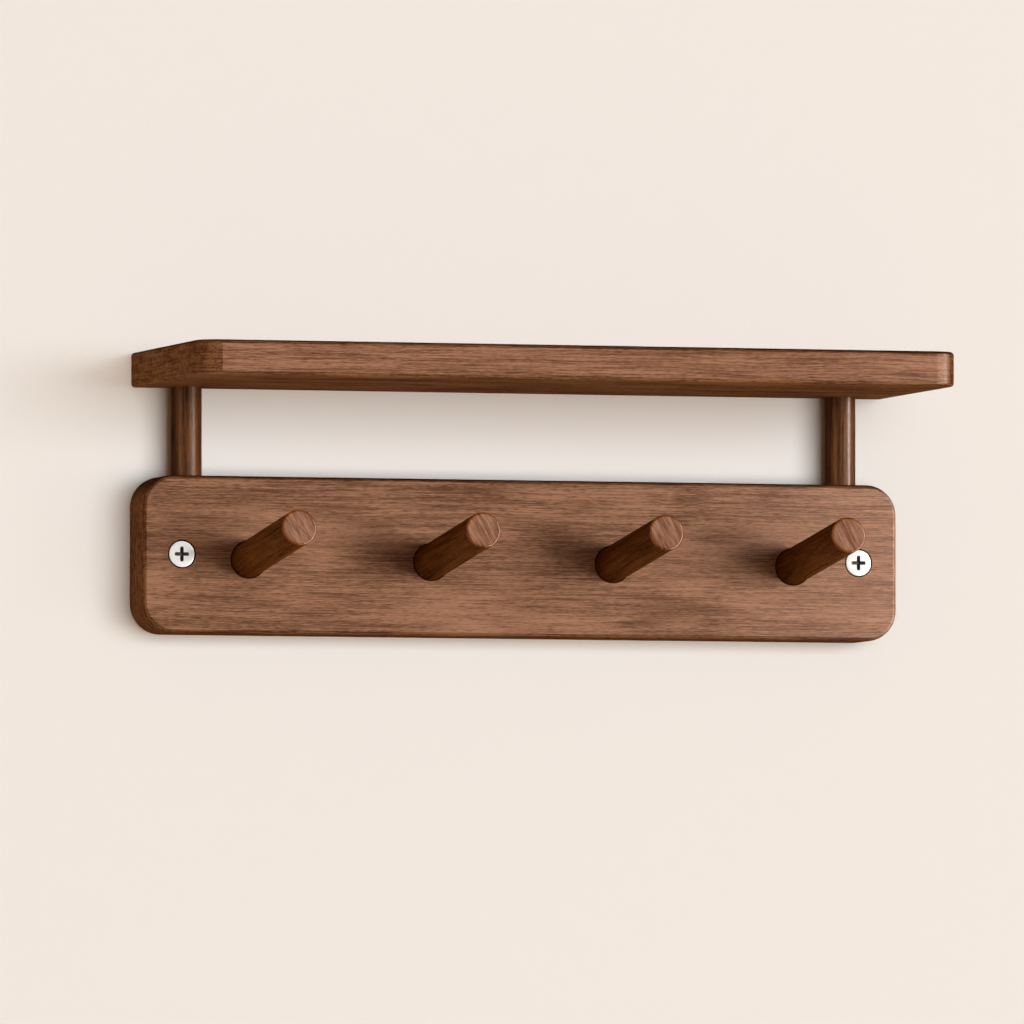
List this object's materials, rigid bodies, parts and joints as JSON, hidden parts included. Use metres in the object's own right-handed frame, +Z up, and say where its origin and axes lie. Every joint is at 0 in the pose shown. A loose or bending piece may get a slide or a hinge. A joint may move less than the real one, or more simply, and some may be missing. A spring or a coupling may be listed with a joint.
{
  "type": "peg rail with shelf",
  "caption": "Wall-mounted walnut peg rail with a shelf board carried above it on round posts and upward-tilted round pegs for hanging things.",
  "frame": {"origin": "in the wall plane, at the middle of the rail's back face and of the line between the two wall screws", "axes": "+X along the rail to the right as seen from the front, +Y into the wall, +Z up; the pegs and the shelf stand out along -Y"},
  "size_m": [0.33, 0.1382, 0.118],
  "materials": {
    "walnut": "black walnut board, oiled, satin, fine straight grain along the length",
    "walnut_dowel": "black walnut dowel, oiled, satin, grain along the dowel",
    "zinc_plated_steel": "bright zinc plate"
  },
  "bodies": {
    "root": {"shelf_board": "walnut", "peg_rail": "walnut", "left_post": "walnut_dowel", "right_post": "walnut_dowel", "peg_1": "walnut_dowel", "peg_2": "walnut_dowel", "peg_3": "walnut_dowel", "peg_4": "walnut_dowel", "left_wall_screw": "zinc_plated_steel", "right_wall_screw": "zinc_plated_steel"}
  },
  "joints": []
}
